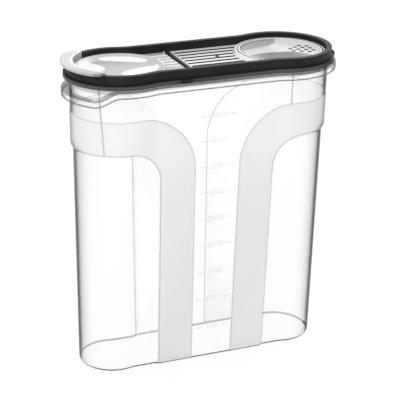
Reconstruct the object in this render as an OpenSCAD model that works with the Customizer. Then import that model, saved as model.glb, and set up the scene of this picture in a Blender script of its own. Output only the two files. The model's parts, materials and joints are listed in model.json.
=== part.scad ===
// Tall cereal container with a lift-off lid, a flip spout flap and a turning dosing dial.
// The origin is the middle of the base. X runs along the container, with the spout at -X.
// Y runs across it and Z is up.

/* [Plan outline] */
// Length of the lid's black wall, end to end
lid_l = 268; // [262:1:280]
// Radius of the lid's round ends
end_r = 50.3; // [49.5:0.1:54]
// Width of the lid across its straight middle
waist_w = 92; // [91:0.5:95]
// Radius of the hollow curves that join the middle to the round ends
blend_r = 47; // [40:1:60]

/* [Tub] */
// Height of the tub, to the top of its rim
tub_h = 298.8; // [240:0.1:330]
// How far the tub's wall stands in from the lid's wall at the rim
rim_inset = 2.7; // [2.5:0.1:3.2]
// Length of the tub at its base, before its bottom edge is rounded
base_l = 256.2; // [248:0.1:262]
// Radius of the round ends at the base
base_end_r = 36; // [33:0.5:42]
// Width of the straight middle at the base
base_waist_w = 68.6; // [64:0.2:74]
// Radius of the rounded bottom edge
foot_r = 5; // [3:0.5:7]
// Thickness of the tub's wall
tub_wall = 2; // [1.6:0.1:2.4]
// Thickness of the tub's floor
tub_floor = 2.5; // [2:0.1:4]

/* [Grip hollows and frosted bands] */
// Depth of the hollows in the tub's ends
grip_depth = 2.4; // [1:0.1:3]
// Height of the upper edge of the hollows
grip_top_z = 233; // [190:1:245]
// Half distance between the two hollows, at their upper edge
grip_x = 58.7; // [52:0.1:66]
// Radius of the hollows' upper corners
grip_corner_r = 31; // [15:1:40]
// Height of the frosted bands above the hollows
band_w = 33; // [20:1:38]
// Width of the frosted legs beside the window
leg_w = 35; // [25:1:40]
// Radius of the window's upper corners
window_corner_r = 56; // [30:1:60]
// How far the frosted bands stand proud of the clear wall
band_relief = 0.4; // [0.2:0.1:0.8]
// How much the hollows and the window draw in toward the base
leg_taper = 2.4; // [0:0.1:4]
// How far the window stands toward the dosing end
window_x = 2.5; // [0:0.1:5]

/* [Rim flange] */
// How far the flange stands out past the lid's wall
flange_out = 4.7; // [3.5:0.1:6]
// Height of the flange's hanging edge
flange_h = 7; // [5:0.5:9]
// Thickness of the flange
flange_t = 1.8; // [1.4:0.1:2.2]
// How far the flange drops at the spout end, to leave room for a finger
flange_drop = 10; // [0:0.5:14]

/* [Volume scale] */
// Volume between two marks, in millilitres
mark_ml = 500; // [500:250:1000]
// Length of each short mark
mark_l = 7; // [4:0.5:9]
// Free width for the numbers between a pair of marks
number_w = 21; // [16:1:24]
// How far the marks stand proud
mark_relief = 0.35; // [0.2:0.05:0.5]

/* [Lid frame] */
// Height of the lid's top above the tub's rim
lid_h = 13.2; // [12.6:0.1:16]
// Thickness of the lid's upright wall
frame_wall = 5; // [4.6:0.1:5.6]
// How far the skirt stands out past the wall
skirt_out = 2.5; // [1.5:0.1:3]
// Height of the skirt
skirt_h = 3.9; // [3:0.1:5]
// Gap between the skirt's lower edge and the tub's rim
skirt_gap = 0.5; // [0.3:0.1:0.8]
// Thickness of the lid's floor
lid_floor = 1.6; // [1.4:0.1:2]
// Thickness of the wall that plugs into the tub
plug_wall = 1.8; // [1.4:0.1:2]
// Depth of that wall below the lid's floor
plug_h = 8; // [5:0.5:12]
// Thickness of the gasket between the lid and the tub's rim
seal_t = 1.8; // [1.4:0.1:2.2]
// Width of the catches on the skirt
catch_w = 12; // [8:1:16]
// Half the angle of the catch at the dosing end
catch_half = 14; // [8:1:20]

/* [Slotted deck] */
// Thickness of the clear deck plate
deck_t = 1.8; // [1.5:0.1:2.2]
// Distance from one slot to the next
slot_pitch = 9.3; // [8.8:0.1:9.6]
// Width of a slot
slot_w = 3.9; // [2:0.1:5]
// Number of slots
slot_count = 8; // [4:2:8]
// Width of the deck's collar round the dial
collar_w = 2.6; // [2.4:0.1:3.6]
// Distance of the locating peg from the middle
peg_x = 21; // [8:1:28]
// Diameter of the locating peg
peg_d = 4.2; // [3:0.1:5]

/* [Dosing dial] */
// Radius of the dial
dial_r = 41.6; // [40:0.1:41.8]
// Height of the dial's face above the deck
dial_rise = 3.5; // [2.5:0.1:4]
// Thickness of the whole dial
dial_t = 7; // [6:0.1:7.4]
// Width of the dial's flat rim
dial_rim = 2; // [1.5:0.1:4]
// Depth of the sieve below the dial's rim
sieve_depth = 2; // [1:0.1:2.5]
// Depth of the thumb bowl below the dial's rim
bowl_depth = 5.5; // [4:0.1:5.6]
// Width of the bowl's slope
bowl_slope = 6; // [4:0.5:9]
// How far the bowl reaches past the dial's middle
bowl_x = 8; // [4:0.5:9]
// Diameter of a sieve hole
sieve_hole_d = 4.6; // [3:0.1:5]
// Distance between two sieve holes
sieve_pitch = 7.6; // [6.6:0.1:7.8]

/* [Flip spout] */
// Distance of the hinge pin from the middle, toward the spout
hinge_x = 20.5; // [18:0.5:26]
// Radius of the hinge pin
pin_r = 1.5; // [1.2:0.1:1.7]
// Radius of the hinge eyes
eye_r = 2.9; // [2.6:0.1:3.2]
// Width of a hinge eye
eye_w = 3.6; // [2.5:0.1:4]
// Thickness of the flap
flap_t = 1.5; // [1.3:0.1:1.8]
// Radius of the pour opening
pour_r = 39; // [34:0.5:40]
// Radius of the flap's dish at its lip
dish_r = 42.3; // [40:0.1:42.5]
// Width of the dish's slope
dish_slope = 7; // [4:0.5:9]
// Half the angle of the thumb tab
tab_half = 55; // [40:1:56]
// How far the thumb tab stands past the lid's wall
tab_out = 4.7; // [3:0.1:4.7]
// Thickness of the thumb tab, which lies over the lid's wall
tab_t = 2.1; // [1.6:0.1:2.6]
// Radius of the thumb tab's outer corners
tab_corner_r = 9; // [4:0.5:12]

/* [Fits] */
// Clearance of the hinge pin in the flap's eyes
pin_clear = 0.08; // [0.05:0.01:0.1]
// Clearance of the dial in the deck's collar
dial_clear = 0.09; // [0.05:0.01:0.1]
// Clearance round the flap
flap_clear = 0.9; // [0.7:0.1:1.2]
// Clearance between the lid and the tub's wall
lid_clear = 0.5; // [0.4:0.05:0.7]
// Clearance under pieces that slide over each other
slide_clear = 0.2; // [0.15:0.05:0.3]

/* [Hidden] */

$fn = 96;
// Overlap that joins solids into one piece
weld = 0.5;
// Extra length of a cutting tool
past = 1;

// Middle of each round end of the lid
end_x = lid_l / 2 - end_r;
waist_y = waist_w / 2;

// Levels of the lid
floor_low_z = tub_h + seal_t;
floor_z = floor_low_z + lid_floor;
deck_z = floor_z + deck_t;
face_z = deck_z + dial_rise;
top_z = tub_h + lid_h;
skirt_z = tub_h + skirt_gap;
pin_z = floor_z + pin_r + 0.1;

// The lid's plan outline, grown by d, as points around it from +X
function blend_x(a, r, w, f) = max(a - r - sqrt(pow(r + f, 2) - pow(w + f, 2)), 0.01);
function quarter(a, r, w, f, n, m) = let(
    c = a - r,
    bx = blend_x(a, r, w, f),
    turn = atan2(w + f, bx - c))
    concat(
        [for (i = [0:n]) [c + r * cos(turn * i / n), r * sin(turn * i / n)]],
        [for (i = [1:m]) let(g = turn + 180 + (90 - turn) * i / m)
            [bx + f * cos(g), w + f + f * sin(g)]]);
function ring_points(a, r, w, f, n = 17, m = 6) = let(
    q = quarter(a, r, w, f, n, m),
    k = len(q))
    concat(
        q,
        [for (i = [k - 1:-1:0]) [-q[i][0], q[i][1]]],
        [for (i = [1:k - 1]) [-q[i][0], -q[i][1]]],
        [for (i = [k - 1:-1:1]) [q[i][0], -q[i][1]]]);

// Outline of the tub at height z, drawn in by d: one share of the base and one of the rim
function tub_share(z) = z / tub_h;
function mixed(low, high, z) = low + (high - low) * tub_share(z);
function tub_points(z, d) = ring_points(
    mixed(base_l / 2, lid_l / 2 - rim_inset, z) - d,
    mixed(base_end_r, end_r - rim_inset, z) - d,
    mixed(base_waist_w / 2, waist_y - rim_inset, z) - d,
    blend_r + rim_inset + d);
function tub_y(z) = mixed(base_waist_w / 2, waist_y - rim_inset, z);

// Points rounded to a thousandth
function neat(rings) = [for (ring = rings) for (p = ring) [for (v = p) round(v * 1000) / 1000]];

// A solid between stacked rings of points
module stacked(rings) {
    n = len(rings[0]);
    m = len(rings);
    polyhedron(
        points = neat(rings),
        faces = concat(
            [[for (i = [0:n - 1]) i]],
            [for (j = [0:m - 2]) for (i = [0:n - 1]) let(k = (i + 1) % n)
                [j * n + i, (j + 1) * n + i, (j + 1) * n + k]],
            [for (j = [0:m - 2]) for (i = [0:n - 1]) let(k = (i + 1) % n)
                [j * n + i, (j + 1) * n + k, j * n + k]],
            [[for (i = [n - 1:-1:0]) (m - 1) * n + i]]));
}

// The tub's solid form, drawn in by d, from z0 up to z1, with a rounded foot
module tub_form(d, z0, z1, foot) {
    steps = 4;
    stacked(concat(
        [for (i = [0:steps]) let(g = 90 * i / steps, z = z0 + foot * (1 - cos(g)))
            [for (p = tub_points(z, d + foot * (1 - sin(g)))) [p[0], p[1], z]]],
        [[for (p = tub_points(z1, d)) [p[0], p[1], z1]]]));
}

// Side view of the end hollows: the space past x under z, with a round upper corner
module end_region(x, z, corner) {
    for (side = [-1, 1])
        offset(r = corner)
            offset(delta = -corner)
                polygon([
                    [window_x + side * x, z],
                    [side * lid_l, z],
                    [side * lid_l, -tub_h],
                    [window_x + side * (x - 2 * leg_taper), -tub_h]]);
}

// A side view pushed right across the tub
module across() {
    rotate([90, 0, 0])
        linear_extrude(height = 2 * end_r + 20, center = true)
            children();
}

// Cuts the end hollows, drawn in by d, out of a tub form
module hollowed(d, z0, foot) {
    tub_form(d + grip_depth, z0, grip_top_z + d + weld, foot);
    difference() {
        children();
        across() end_region(grip_x - d, grip_top_z + d, grip_corner_r);
    }
}

// How far the flange has dropped at x: none at the middle, all of it round the spout end
function drop_share(x) = let(t = min(max((-x - end_x - 16) / 22, 0), 1)) t * t * (3 - 2 * t);

// A closed band that follows the lid's outline, with the same section all round
module swept_band(section) {
    k = len(section);
    rings = [for (s = section)
        let(line = ring_points(lid_l / 2 + s[0], end_r + s[0], waist_y + s[0], blend_r - s[0]))
        [for (p = line) [p[0], p[1], s[1] - flange_drop * drop_share(p[0])]]];
    n = len(rings[0]);
    polyhedron(
        points = neat(rings),
        faces = [for (j = [0:k - 1]) for (i = [0:n - 1])
            let(i2 = (i + 1) % n, j2 = (j + 1) % k)
            each [[j * n + i, j2 * n + i, j2 * n + i2], [j * n + i, j2 * n + i2, j * n + i2]]]);
}

module flange() {
    outer = flange_out;
    inner = -rim_inset - tub_wall / 2;
    high = tub_h - weld;
    low = tub_h - flange_h;
    under = high - flange_t;
    swept_band([
        [inner, high], [inner, under], [outer - flange_t, under],
        [outer - flange_t, low], [outer, low], [outer, high - 0.6], [outer - 0.6, high]]);
}

// Height at which the tub holds v cubic millimetres
inner_low = 4 * (base_l / 2 - base_end_r) * (base_waist_w / 2 - tub_wall)
    + PI * pow(base_end_r - tub_wall, 2) - 4 * grip_depth * (end_x + base_end_r) / 2;
inner_high = 4 * end_x * (waist_y - rim_inset - tub_wall)
    + PI * pow(end_r - rim_inset - tub_wall, 2);
growth = (inner_high - inner_low) / (2 * tub_h);
function fill_z(v) = tub_floor
    + (sqrt(inner_low * inner_low + 4 * growth * v) - inner_low) / (2 * growth);
mark_top = floor((inner_low + growth * (tub_h - 22)) * (tub_h - 22) / (mark_ml * 1000));

// One short raised mark on the front of the tub
module mark(x, z) {
    lean = atan((tub_y(tub_h) - tub_y(0)) / tub_h);
    translate([x, -tub_y(z) + band_relief, z])
        rotate([90 + lean, 0, 0])
            hull()
                for (side = [-1, 1])
                    translate([side * mark_l / 2, 0, -tub_wall / 4])
                        cylinder(r = 0.6, h = mark_relief + tub_wall / 4, $fn = 12);
}

module volume_scale() {
    for (i = [1:mark_top])
        for (side = [-1, 1])
            mark(window_x + side * (number_w + mark_l) / 2, fill_z(i * mark_ml * 1000));
}

module tub() {
    color([0.93, 0.94, 0.96, 0.45])
        difference() {
            union() {
                hollowed(0, 0, foot_r) {
                    tub_form(band_relief, 0, tub_h, foot_r);
                    // The frosted bands, which reach from the hollows to the clear window
                    intersection() {
                        tub_form(0, 0, tub_h - flange_h, foot_r);
                        across() end_region(grip_x - leg_w, grip_top_z + band_w, window_corner_r);
                    }
                }
                flange();
                volume_scale();
            }
            hollowed(tub_wall, tub_floor, foot_r - tub_wall)
                tub_form(tub_wall, tub_floor, tub_h + past, foot_r - tub_wall);
        }
}

// The lid's plan outline grown by d
module lid_outline(d) {
    polygon(ring_points(lid_l / 2 + d, end_r + d, waist_y + d, blend_r - d, 32, 11));
}

// A wall that follows the lid's outline
module lid_wall(outer, inner, z0, z1) {
    translate([0, 0, z0])
        linear_extrude(height = z1 - z0)
            difference() {
                lid_outline(outer);
                lid_outline(inner);
            }
}

// Distance of a hinge eye from the middle, and the free space round it
eye_y = waist_y - frame_wall - 0.8 - eye_w / 2;
eye_gap = 0.6;

// Slanted catch on the skirt on each long side, and one round the dosing end
module catches() {
    catch_x = -hinge_x - 8;
    translate([end_x, 0, 0])
        rotate([0, 0, -catch_half])
            rotate_extrude(angle = 2 * catch_half, $fn = 180)
                polygon([
                    [end_r - 1, skirt_z], [end_r + flange_out, skirt_z],
                    [end_r + flange_out, skirt_z + skirt_h], [end_r + 0.6, skirt_z + skirt_h + 3.4],
                    [end_r - 1, skirt_z + skirt_h + 3.4]]);
    for (side = [0, 1])
        mirror([0, side, 0])
            translate([0, -waist_y, 0])
                rotate([90, 0, 0])
                    linear_extrude(height = skirt_out + 0.7)
                        polygon([
                            [catch_x - catch_w, skirt_z + skirt_h],
                            [catch_x, skirt_z + skirt_h],
                            [catch_x, skirt_z],
                            [catch_x - catch_w * 0.7, skirt_z]]);
}

// Half-moon window under the sieve
module dosing_window() {
    translate([end_x, 0, floor_low_z - 10])
        intersection() {
            cylinder(r = dial_r - dial_rim - 1, h = 20);
            translate([10, -end_r, 0])
                cube([end_r, 2 * end_r, 20]);
        }
}

// Underside of the dial, floor of its well and radius of the dial's foot under the collar
dial_low_z = face_z - dial_t;
well_z = dial_low_z - slide_clear;
dial_foot_r = dial_r + 1.3;

module lid_frame() {
    color([0.13, 0.13, 0.13])
        difference() {
            union() {
                lid_wall(0, -frame_wall, floor_low_z, top_z);
                lid_wall(skirt_out, -rim_inset + lid_clear, skirt_z, skirt_z + skirt_h);
                lid_wall(-frame_wall - 0.3, -frame_wall - 0.3 - plug_wall,
                    floor_low_z - plug_h, floor_z);
                translate([0, 0, floor_low_z])
                    linear_extrude(height = lid_floor)
                        lid_outline(-frame_wall + weld);
                translate([end_x, 0, well_z - lid_floor])
                    cylinder(r = dial_foot_r + 1, h = floor_z - well_z + lid_floor);
                catches();
            }
            // Pour opening
            translate([-end_x, 0, floor_low_z - past])
                cylinder(r = pour_r, h = lid_floor + 2 * past);
            // Groove of the flap's seal
            translate([-end_x, 0, floor_z - 1])
                difference() {
                    cylinder(r = pour_r + 3.2, h = 1 + past);
                    translate([0, 0, -past])
                        cylinder(r = pour_r + 1, h = 1 + 3 * past);
                }
            // Well of the dial
            translate([end_x, 0, well_z])
                cylinder(r = dial_foot_r + slide_clear, h = floor_z - well_z + past);
            dosing_window();
            // Bores of the hinge pin and room for the hinge eyes
            translate([-hinge_x, 0, pin_z])
                rotate([90, 0, 0])
                    cylinder(r = pin_r, h = 2 * (waist_y - 2), center = true);
            for (side = [-1, 1])
                translate([-hinge_x, side * eye_y, pin_z])
                    cube([2 * (eye_r + eye_gap), eye_w + 2 * eye_gap, 2 * (eye_r + eye_gap)],
                        center = true);
            // Hole of the locating peg
            translate([peg_x, slot_pitch, floor_low_z - past])
                cylinder(d = peg_d - 1.2, h = lid_floor + 2 * past);
        }
}

module lid_seal() {
    color([0.75, 0.76, 0.78])
        lid_wall(-rim_inset + 0.2, -rim_inset - tub_wall - 0.1, tub_h, floor_low_z);
}

// The side of the deck that faces the flap
deck_edge_x = -hinge_x + 2.5;

module deck_slots() {
    for (i = [0:slot_count - 1])
        let(y = (i - (slot_count - 1) / 2) * slot_pitch)
        translate([deck_edge_x + 3, y - slot_w / 2, floor_z - past])
            cube([end_x - deck_edge_x - 3, slot_w, deck_t + 2 * past]);
}

module deck_plate() {
    color([0.9, 0.91, 0.92, 0.8])
        difference() {
            union() {
                difference() {
                    translate([0, 0, floor_z])
                        linear_extrude(height = deck_t)
                            intersection() {
                                lid_outline(-frame_wall - 0.1);
                                translate([deck_edge_x, -end_r])
                                    square([lid_l, 2 * end_r]);
                            }
                    deck_slots();
                }
                intersection() {
                    translate([end_x, 0, floor_z])
                        rotate_extrude($fn = 180)
                            polygon([
                                [dial_r - 1, 0], [dial_r + collar_w + 2, 0],
                                [dial_r + collar_w + 2, deck_t],
                                [dial_r + collar_w, face_z - floor_z - 0.2],
                                [dial_r - 1, face_z - floor_z - 0.2]]);
                    translate([0, 0, floor_z])
                        linear_extrude(height = top_z - floor_z)
                            lid_outline(-frame_wall - 0.1);
                }
            }
            // Bearing bore of the dial
            translate([end_x, 0, floor_z - past])
                cylinder(r = dial_r + dial_clear, h = top_z - floor_z);
            // Room for the hinge eyes and the peg
            for (side = [-1, 1])
                translate([-hinge_x, side * eye_y, pin_z])
                    cube([2 * (eye_r + eye_gap), eye_w + 2 * eye_gap, 2 * (eye_r + eye_gap)],
                        center = true);
            translate([peg_x, slot_pitch, floor_z - past])
                cylinder(d = peg_d - 1.2, h = deck_t + 2 * past);
        }
}

module deck_peg() {
    color([0.15, 0.15, 0.15]) {
        translate([peg_x, slot_pitch, floor_low_z])
            cylinder(d = peg_d - 1.2, h = lid_floor + deck_t);
        translate([peg_x, slot_pitch, deck_z])
            cylinder(d1 = peg_d, d2 = peg_d - 0.8, h = 0.6);
    }
}

// A cone with its far side cut off by a leaning plane
module thumb_bowl(inner_r) {
    low = dial_t - bowl_depth;
    deep = bowl_depth - sieve_depth;
    lean = bowl_slope / deep;
    intersection() {
        translate([0, 0, low])
            cylinder(r1 = inner_r - bowl_slope, r2 = inner_r - 0.3, h = deep + weld, $fn = 180);
        rotate([90, 0, 0])
            linear_extrude(height = 2 * dial_r, center = true)
                polygon([
                    [-dial_r, low - past], [bowl_x - bowl_slope - lean * past, low - past],
                    [bowl_x + lean * past, low + deep + past], [-dial_r, low + deep + past]]);
    }
}

module dosing_dial() {
    inner_r = dial_r - dial_rim;
    color([0.86, 0.87, 0.89, 0.85])
        translate([end_x, 0, dial_low_z])
            difference() {
                union() {
                    cylinder(r = dial_r, h = dial_t, $fn = 180);
                    cylinder(r = dial_foot_r, h = floor_z - dial_low_z - slide_clear, $fn = 180);
                }
                translate([0, 0, dial_t - sieve_depth])
                    cylinder(r = inner_r, h = sieve_depth + past, $fn = 180);
                thumb_bowl(inner_r);
                sieve_holes();
            }
}

// Holes in each column of the sieve, from the bowl outward
sieve_columns = [2, 3, 4, 3];

module sieve_holes() {
    for (i = [0:len(sieve_columns) - 1])
        for (j = [0:sieve_columns[i] - 1])
            translate([
                bowl_x + 5.5 + i * sieve_pitch * 0.86,
                (j - (sieve_columns[i] - 1) / 2) * sieve_pitch,
                -past])
                cylinder(d = sieve_hole_d, h = dial_t + 2 * past, $fn = 24);
}

// Underside of the flap, its hinge edge, the underside of its thumb tab and its ribs' width
flap_low_z = floor_z + 0.3;
flap_edge_x = -hinge_x - 2.5;
tab_low_z = top_z + 0.3;
rib_w = slot_pitch - slot_w - 3.4;

// Plan of the thumb tab: a slice out to radius r with round outer corners of radius c
module tab_plan(r, half, c) {
    turn = asin(c / (r - c));
    steps = 8;
    function corner(side) = [for (i = [0:steps])
        let(g = half + 90 - (90 + turn) * i / steps)
        [(r - c) * cos(half - turn) + c * cos(g),
            side * ((r - c) * sin(half - turn) + c * sin(g))]];
    arc = 40;
    polygon(concat(
        [[0, 0]],
        corner(1),
        [for (i = [1:arc - 1]) let(g = (half - turn) * (1 - 2 * i / arc)) [r * cos(g), r * sin(g)]],
        [for (i = [steps:-1:0]) corner(-1)[i]]));
}

module flap() {
    rise = face_z - flap_low_z;
    edge_r = end_r - frame_wall - flap_clear;
    tab_r = end_r + tab_out;
    color([0.9, 0.91, 0.93, 0.75])
        difference() {
            union() {
                // Flat part from the hinge to the round end
                translate([0, 0, flap_low_z])
                    linear_extrude(height = deck_z - flap_low_z)
                        difference() {
                            intersection() {
                                lid_outline(-frame_wall - flap_clear);
                                translate([flap_edge_x - lid_l, -end_r])
                                    square([lid_l, 2 * end_r]);
                            }
                            translate([-end_x, 0])
                                circle(r = edge_r - 0.4, $fn = 180);
                        }
                // Raised round lip with its dish
                translate([-end_x, 0, flap_low_z])
                    rotate_extrude($fn = 180)
                        polygon([
                            [0, 0], [dish_r - dish_slope, 0], [edge_r - flap_t, rise - flap_t],
                            [edge_r - flap_t, 0], [edge_r, 0],
                            [edge_r, rise - 0.6], [edge_r - 0.6, rise], [dish_r, rise],
                            [dish_r - dish_slope, flap_t], [0, flap_t]]);
                // Upright wall of the thumb tab, inside the lid's wall
                translate([-end_x, 0, face_z - flap_t])
                    rotate([0, 0, 180 - tab_half + 0.6])
                        rotate_extrude(angle = 2 * (tab_half - 0.6), $fn = 180)
                            translate([edge_r - 1.3, 0])
                                square([1.2, tab_low_z + tab_t - 0.5 - face_z + flap_t]);
                // Thumb tab, over the top of the lid's wall
                translate([-end_x, 0, tab_low_z])
                    rotate([0, 0, 180])
                        linear_extrude(height = tab_t)
                            difference() {
                                tab_plan(tab_r, tab_half, tab_corner_r);
                                circle(r = edge_r - 0.9, $fn = 180);
                            }
                // Ribs that carry on the lines of the deck, up to the round lip
                difference() {
                    for (i = [0:slot_count - 2])
                        let(y = (i - (slot_count - 2) / 2) * slot_pitch)
                        translate([-end_x, y - rib_w / 2, deck_z - weld])
                            cube([end_x + flap_edge_x - 1, rib_w, weld + 0.7]);
                    translate([-end_x, 0, floor_z])
                        cylinder(r = edge_r - 0.4, h = lid_h);
                }
                // Hinge eyes
                for (side = [-1, 1])
                    translate([-hinge_x, side * eye_y, pin_z]) {
                        rotate([90, 0, 0])
                            cylinder(r = eye_r, h = eye_w, center = true);
                        translate([-eye_r - 1.5, -eye_w / 2, flap_low_z - pin_z])
                            cube([eye_r + 1.5, eye_w, deck_z - flap_low_z]);
                    }
            }
            translate([-hinge_x, 0, pin_z])
                rotate([90, 0, 0])
                    cylinder(r = pin_r + pin_clear, h = waist_w, center = true);
        }
}

module flap_seal() {
    color([0.8, 0.81, 0.83])
        translate([-end_x, 0, floor_z - 1])
            rotate_extrude($fn = 120)
                translate([pour_r + 1, 0])
                    square([2.2, 1.15]);
}

module hinge_pin() {
    color([0.16, 0.16, 0.16])
        translate([-hinge_x, 0, pin_z])
            rotate([90, 0, 0])
                cylinder(r = pin_r, h = 2 * (waist_y - 2), center = true, $fn = 32);
}

tub();
lid_frame();
lid_seal();
deck_plate();
deck_peg();
dosing_dial();
flap();
flap_seal();
hinge_pin();
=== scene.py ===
# %% [markdown]
# # A cereal container with a flip spout and a dosing dial
# The real object is a tall clear box with a black lid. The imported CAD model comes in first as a
# fixed frame. Every piece made here is placed in that frame, in metres, and rides on one of its bodies.

import json
from math import atan2, cos, hypot, pi, radians, sin, sqrt

import bmesh
import bpy
from mathutils import Matrix, Vector

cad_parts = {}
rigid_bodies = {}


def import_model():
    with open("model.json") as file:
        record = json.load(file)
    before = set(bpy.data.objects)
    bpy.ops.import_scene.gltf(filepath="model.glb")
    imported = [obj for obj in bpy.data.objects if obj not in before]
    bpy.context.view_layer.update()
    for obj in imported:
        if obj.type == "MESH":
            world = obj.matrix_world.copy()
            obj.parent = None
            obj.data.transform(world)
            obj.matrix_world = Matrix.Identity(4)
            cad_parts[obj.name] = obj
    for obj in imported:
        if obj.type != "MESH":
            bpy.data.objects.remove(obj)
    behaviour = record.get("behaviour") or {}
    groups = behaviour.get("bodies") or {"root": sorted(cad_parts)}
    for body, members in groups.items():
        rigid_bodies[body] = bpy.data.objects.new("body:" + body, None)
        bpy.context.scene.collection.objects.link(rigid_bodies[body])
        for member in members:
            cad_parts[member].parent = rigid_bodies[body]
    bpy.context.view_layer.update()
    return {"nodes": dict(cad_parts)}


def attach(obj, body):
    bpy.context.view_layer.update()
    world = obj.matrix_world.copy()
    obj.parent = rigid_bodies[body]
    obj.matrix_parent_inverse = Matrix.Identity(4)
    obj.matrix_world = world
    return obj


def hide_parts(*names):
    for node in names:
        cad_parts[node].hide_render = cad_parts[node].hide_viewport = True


for thing in list(bpy.data.objects):
    bpy.data.objects.remove(thing)
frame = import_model()
scene = bpy.context.scene
scene.view_settings.view_transform = "Standard"
MM = 0.001

# %% [markdown]
# ## Sizes
# The plan of the container is two round ends joined by hollow curves to a straight waist. The lid and
# the tub share that plan, so one function that gives its points serves both. The numbers below are
# the sizes of this container, in millimetres.

# %% Sizes of the plan
LID_L = 268.0           # length over the wall of the lid
END_R = 50.3            # radius of its round ends
WAIST_Y = 46.0          # half its width at the waist
BLEND_R = 47.0          # radius of the hollow curves
END_X = LID_L / 2 - END_R
print("middle of each round end:", END_X)

# %% Sizes of the tub
TUB_H = 298.8           # height of the tub
RIM_INSET = 2.7         # the tub's rim lies this far inside the lid's wall
BASE_L = 256.2          # length at the base, where the tub is drawn in
BASE_END_R = 36.0       # radius of its round ends at the base
BASE_WAIST_Y = 34.3     # half its width at the base
FOOT_R = 5.0            # rounding between the wall and the base
WALL = 2.0              # thickness of the wall
FLOOR = 2.5             # thickness of the floor
FLANGE_OUT = 4.68       # reach of the flange past the lid's wall, a hair less than in the CAD
FLANGE_H = 7.0          # height of the flange
FLANGE_T = 1.8          # thickness of the flange
FLANGE_DROP = 10.0      # how far it drops at the spout end
DROP_START = 16.0       # where it starts to drop, past the middle of the round end
DROP_RUN = 22.0         # length of the slope
print("height of the tub:", TUB_H, "capacity height:", TUB_H - FLOOR)

# %% Sizes of the bands, the hollows and the lid
GRIP_DEPTH = 2.4        # depth of the grip hollows in the ends
GRIP_TOP = 233.0        # top of the hollows
GRIP_X = 58.7           # inner edge of the hollows, from the middle of the window
GRIP_CORNER = 31.0      # their round upper corner
BAND_W = 33.0           # width of the frosted band over a hollow
LEG_W = 35.0            # width of the band beside a hollow
WINDOW_CORNER = 56.0    # round upper corner of the bands, toward the clear window
BAND_RELIEF = 0.4       # how far the bands stand proud of the window
LEG_TAPER = 2.4         # how far the legs lean
WINDOW_X = 2.5          # middle of the clear window
DECK_Z = 304.0          # top of the slotted deck
FACE_Z = 307.5          # top of the dial and of the flap
TOP_Z = 312.0           # top of the lid's wall
SKIRT_Z = 303.2         # top of the lid's skirt
SKIRT_LOW = 299.3       # underside of the lid's skirt
print("band over each hollow up to:", GRIP_TOP + BAND_W)

# %% [markdown]
# ## The plan outline
# Each quarter of the plan has three runs: the round end, the hollow curve and half of the straight
# side. Points at even steps along each run keep the faces even, and the same number of points at
# every level lets one level be extruded from the last. A resampled curve object would do too, but
# its points wouldn't stay in line from one level to the next.

# %% Points round the plan
ROUND_STEPS, HOLLOW_STEPS, SIDE_STEPS = 34, 14, 26
LEAST_SIDE = 0.01       # the straight side never gets shorter than this


def plan(half_length, end_r, half_width, hollow_r):
    """Points round the plan, from the middle of the +X end."""
    centre = half_length - end_r
    side_x = max(centre - sqrt((end_r + hollow_r) ** 2 - (half_width + hollow_r) ** 2), LEAST_SIDE)
    turn = atan2(half_width + hollow_r, side_x - centre)
    quarter = []
    for i in range(ROUND_STEPS + 1):
        g = turn * i / ROUND_STEPS
        quarter.append((centre + end_r * cos(g), end_r * sin(g)))
    for i in range(1, HOLLOW_STEPS + 1):
        g = turn + pi + (pi / 2 - turn) * i / HOLLOW_STEPS
        quarter.append((side_x + hollow_r * cos(g), half_width + hollow_r + hollow_r * sin(g)))
    for i in range(1, SIDE_STEPS + 1):
        quarter.append((side_x * (1 - i / SIDE_STEPS), half_width))
    second = [(-x, y) for x, y in reversed(quarter[:-1])]
    third = [(-x, -y) for x, y in quarter[1:]]
    fourth = [(x, -y) for x, y in reversed(quarter[1:-1])]
    return quarter + second + third + fourth


def lid_plan(out):
    """The plan of the lid's wall, grown by out."""
    return plan(LID_L / 2 + out, END_R + out, WAIST_Y + out, BLEND_R - out)


def tub_plan(z, inset):
    """The plan of the tub's wall at height z, drawn in by inset."""
    share = z / TUB_H
    half_length = BASE_L / 2 + (LID_L / 2 - RIM_INSET - BASE_L / 2) * share - inset
    end_r = BASE_END_R + (END_R - RIM_INSET - BASE_END_R) * share - inset
    half_width = BASE_WAIST_Y + (WAIST_Y - RIM_INSET - BASE_WAIST_Y) * share - inset
    return plan(half_length, end_r, half_width, BLEND_R + RIM_INSET + inset)


print("points round the plan:", len(lid_plan(0)))

# %% [markdown]
# ## Growing a wall ring by ring
# A moulded wall is the same outline at many heights. It could be cut from a block, but thin curved
# walls come out cleaner when they grow. The bmesh way is to start from one ring of edges and extrude
# it again and again, each time moving the new ring to its own place.

# %% Helpers that start a ring and grow it
def start_ring(bm, points):
    ring = [bm.verts.new(Vector(p) * MM) for p in points]
    for i, v in enumerate(ring):
        bm.edges.new((ring[i - 1], v))
    return ring


def grow_ring(bm, ring, points):
    """Extrudes a ring of edges and moves the new points to their places."""
    edges = [bm.edges.get((ring[i - 1], v)) for i, v in enumerate(ring)]
    made = bmesh.ops.extrude_edge_only(bm, edges=edges)["geom"]
    new = {v for v in made if isinstance(v, bmesh.types.BMVert)}
    grown = []
    for v, p in zip(ring, points):
        up = next(e.other_vert(v) for e in v.link_edges if e.other_vert(v) in new)
        up.co = Vector(p) * MM
        grown.append(up)
    return grown


print("ring helpers:", start_ring.__name__, grow_ring.__name__)

# %% A helper that turns a mesh into a piece
SMOOTH_ANGLE = 40       # a sharper angle than this stays a crisp edge


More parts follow.
